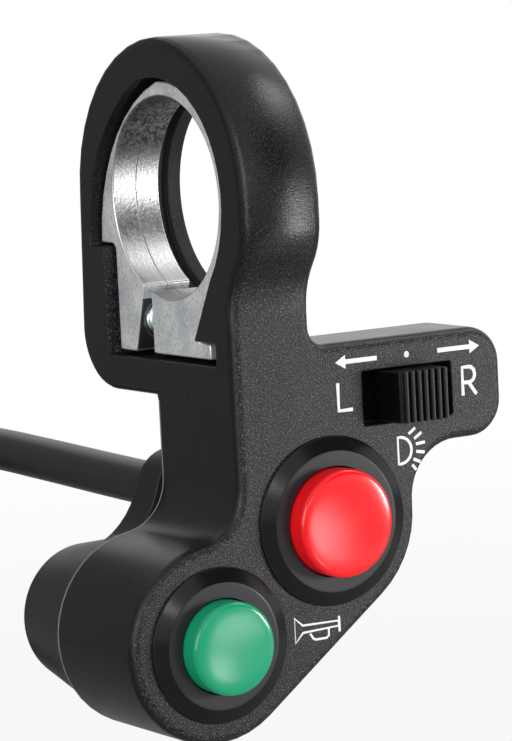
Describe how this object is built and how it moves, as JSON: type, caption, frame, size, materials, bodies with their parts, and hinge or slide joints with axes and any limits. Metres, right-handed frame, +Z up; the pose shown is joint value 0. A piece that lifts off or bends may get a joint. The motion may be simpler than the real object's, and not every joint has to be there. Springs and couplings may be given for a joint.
{
  "type": "handlebar switch cluster",
  "caption": "Clamp-on handlebar switch pod with push buttons, a sliding turn switch, a split metal collar for the bar and a short cable with a plug.",
  "frame": {"origin": "middle of the handlebar bore, at the middle of the plastic ring's width", "axes": "+X along the bar towards the wing, -Y towards the rider (the buttons' faces), +Z up"},
  "size_m": [0.049, 0.1387, 0.1042],
  "materials": {
    "housing_plastic": "spark-textured black moulding",
    "cover_plastic": "satin black moulding",
    "screw_steel": "zinc-plated pan head",
    "zinc_casting": "bare die-cast zinc",
    "plated_screw": "yellow-green plated",
    "plated_sheet": "tinned sheet",
    "laminate": "brown phenolic",
    "contact_brass": "bright contact metal",
    "spring_steel": "spring wire",
    "cable_rubber": "satin black sheath",
    "wire_skin": "coloured cores",
    "tie_plastic": "nylon",
    "connector_plastic": "natural nylon",
    "knob_plastic": "ribbed black moulding",
    "bezel_plastic": "gloss black moulding",
    "nut_brass": "turned ring",
    "natural_plastic": "acetal",
    "red_plastic": "gloss red moulding",
    "green_plastic": "gloss green moulding"
  },
  "bodies": {
    "housing": {"front_housing": "housing_plastic", "rear_cover": "cover_plastic", "wing_cover": "cover_plastic", "wing_screws": "screw_steel", "cover_screws": "screw_steel", "clamp_collar": "zinc_casting", "slide_frame": "plated_sheet", "slide_board": "laminate", "slide_terminals": "contact_brass", "detent_leaf": "spring_steel", "cable_gland": "cable_rubber", "inner_wires": "wire_skin", "cable_lead": "cable_rubber", "cable_coil": "cable_rubber", "cable_tie": "tie_plastic", "connector_housing": "connector_plastic", "connector_pins": "contact_brass", "red_bezel": "bezel_plastic", "red_ring_nut": "nut_brass", "red_spring": "spring_steel", "red_switch_base": "laminate", "red_terminals": "contact_brass", "green_bezel": "bezel_plastic", "green_ring_nut": "nut_brass", "green_spring": "spring_steel", "green_switch_base": "laminate", "green_terminals": "contact_brass"},
    "red_button": {"red_cap": "red_plastic", "red_plunger": "natural_plastic", "red_contact_bridge": "contact_brass"},
    "green_button": {"green_cap": "green_plastic", "green_plunger": "natural_plastic", "green_contact_bridge": "contact_brass"},
    "turn_slider": {"turn_knob": "knob_plastic", "slide_actuator": "knob_plastic", "slide_wiper": "contact_brass"},
    "clamp_bolt": {"clamp_screw": "plated_screw"}
  },
  "joints": [
    {"name": "red_press", "type": "slide", "parent": "housing", "child": "red_button", "axis": [0, 1, 0], "range_m": [0, 0.0025], "stiffness_N_per_m": 500, "springref_m": -0.0012, "deforming": ["red_spring"]},
    {"name": "green_press", "type": "slide", "parent": "housing", "child": "green_button", "axis": [0, 1, 0], "range_m": [0, 0.0025], "stiffness_N_per_m": 500, "springref_m": -0.0012, "deforming": ["green_spring"]},
    {"name": "turn_slide", "type": "slide", "parent": "housing", "child": "turn_slider", "axis": [1, 0, 0], "range_m": [-0.0024, 0.0024]},
    {"name": "clamp_turn", "type": "hinge", "parent": "housing", "child": "clamp_bolt", "pos_m": [-0.001, 0.011, -0.0135], "axis": [0, 1, 0], "continuous": true}
  ]
}
